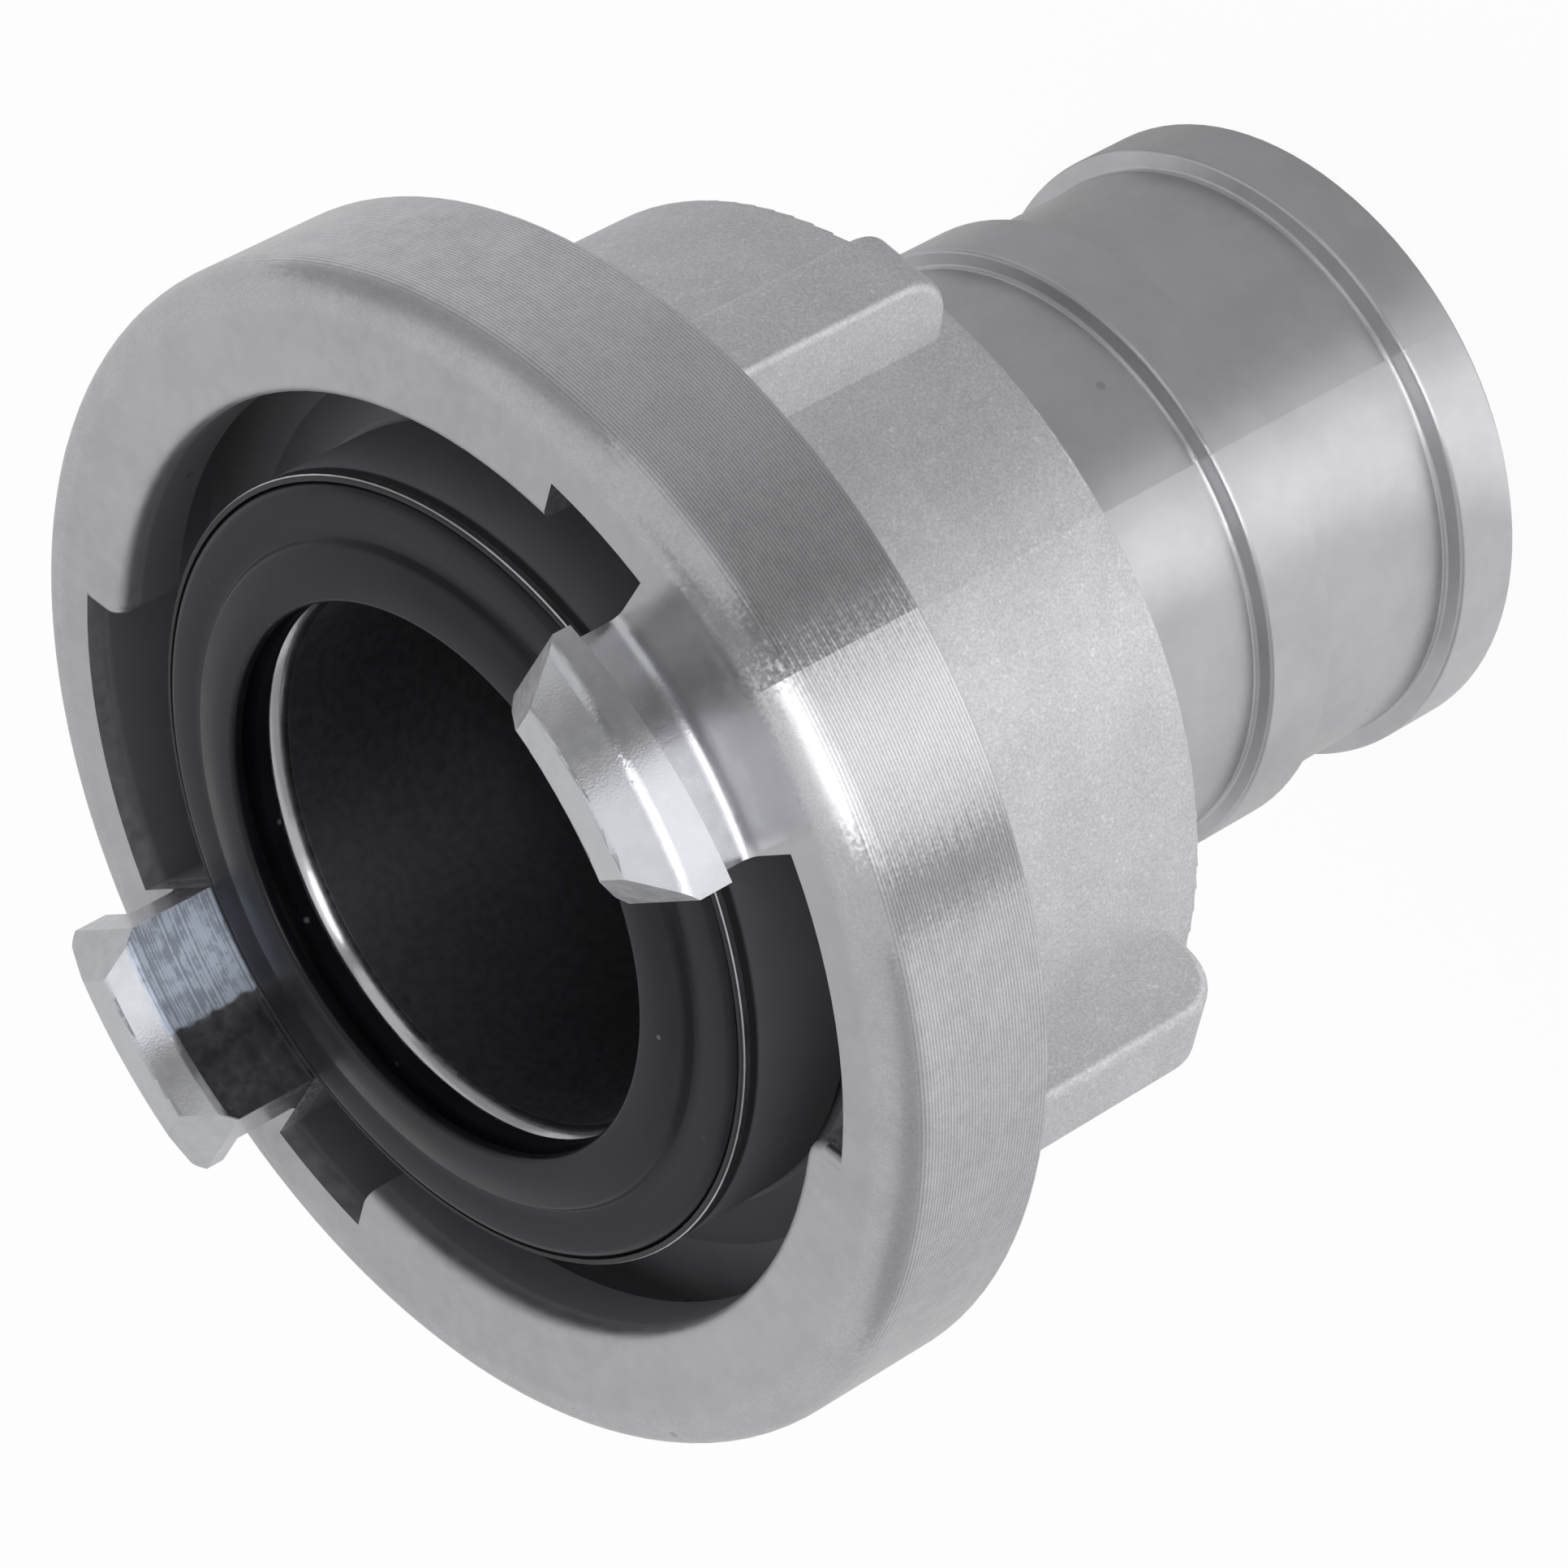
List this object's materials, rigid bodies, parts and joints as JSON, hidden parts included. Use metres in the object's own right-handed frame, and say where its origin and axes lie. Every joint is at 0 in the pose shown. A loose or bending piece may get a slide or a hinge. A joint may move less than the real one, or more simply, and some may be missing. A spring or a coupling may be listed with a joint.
{
  "type": "quarter turn fire hose coupling",
  "caption": "Claw ring that swivels on a barbed hose tail, with outward hooks, lip windows, wrench ribs and a black face seal.",
  "frame": {"origin": "centre of the hose tail's end face, which the coupling stands on", "axes": "+Z along the waterway from the hose end to the claws, +X towards the middle of one claw"},
  "size_m": [0.098, 0.098, 0.1016],
  "materials": {
    "ring_alloy": "forged aluminium, front rim turned and collar blasted matt",
    "tail_alloy": "forged aluminium with a satin skin",
    "seal_rubber": "black moulded rubber with a soft sheen",
    "spring_steel": "bright drawn spring steel"
  },
  "bodies": {
    "tail": {"hose_tail": "tail_alloy", "seal_ring": "seal_rubber", "snap_ring": "spring_steel"},
    "ring": {"claw_ring": "ring_alloy"}
  },
  "joints": [
    {"name": "ring_swivel", "type": "hinge", "parent": "tail", "child": "ring", "pos_m": [0, 0, 0.07], "axis": [0, 0, 1], "continuous": true}
  ]
}
